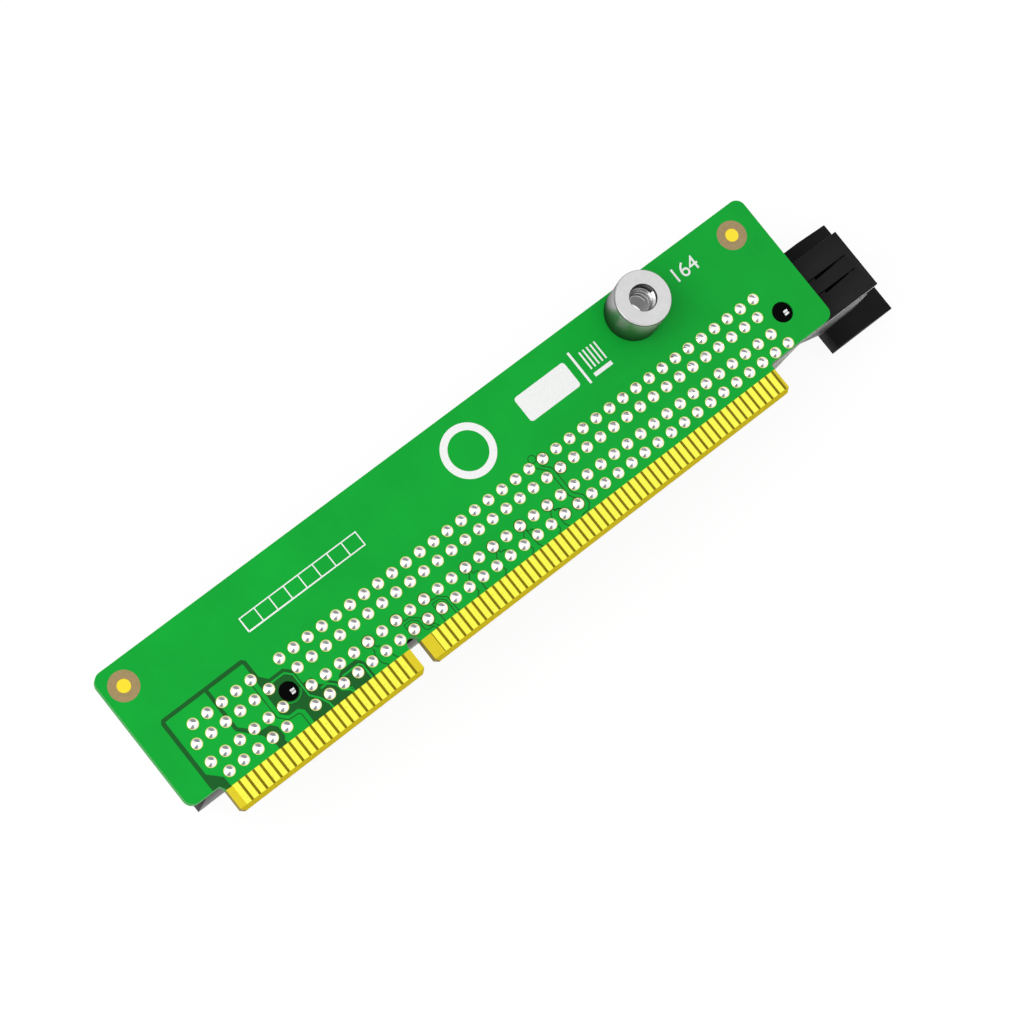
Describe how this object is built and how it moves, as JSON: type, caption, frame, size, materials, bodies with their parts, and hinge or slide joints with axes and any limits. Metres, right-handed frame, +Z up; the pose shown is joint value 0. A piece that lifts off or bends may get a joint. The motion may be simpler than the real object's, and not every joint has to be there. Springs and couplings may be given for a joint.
{
  "type": "pcie riser card",
  "caption": "Narrow green circuit board with gold edge fingers below, a long card slot with a swinging latch on its other face, and a threaded standoff.",
  "frame": {"origin": "centre of the bounding box in X and Y, at its lowest point in Z", "axes": "+X along the slot towards the latch, +Y from the edge fingers towards the long back edge, +Z up out of the solder side"},
  "size_m": [0.1072, 0.0216, 0.0216],
  "materials": {
    "solder_mask": "satin green solder mask on glass laminate",
    "gold": "bright gold plating",
    "contact_gold": "plated spring strip",
    "solder": "bright solder",
    "standoff_metal": "turned and plated",
    "black_moulding": "satin black moulding",
    "black_lever": "satin black moulding"
  },
  "bodies": {
    "card": {"aiming_marks": "gold", "circuit_board": "solder_mask", "contacts_a_long_inner": "contact_gold", "contacts_a_long_outer": "contact_gold", "contacts_a_short_inner": "contact_gold", "contacts_a_short_outer": "contact_gold", "contacts_b_long_inner": "contact_gold", "contacts_b_long_outer": "contact_gold", "contacts_b_short_inner": "contact_gold", "contacts_b_short_outer": "contact_gold", "fingers_back_long": "gold", "fingers_back_short": "gold", "fingers_front_long": "gold", "fingers_front_short": "gold", "slot_housing": "black_moulding", "solder_row_a_inner": "solder", "solder_row_a_outer": "solder", "solder_row_b_inner": "solder", "solder_row_b_outer": "solder", "standoff": "standoff_metal"},
    "latch": {"latch_lever": "black_lever"}
  },
  "joints": [
    {"name": "latch_pivot", "type": "hinge", "parent": "card", "child": "latch", "pos_m": [0.04607, -0.00308, 0.00945], "axis": [0, -1, 0], "range_deg": [0, 25]}
  ]
}
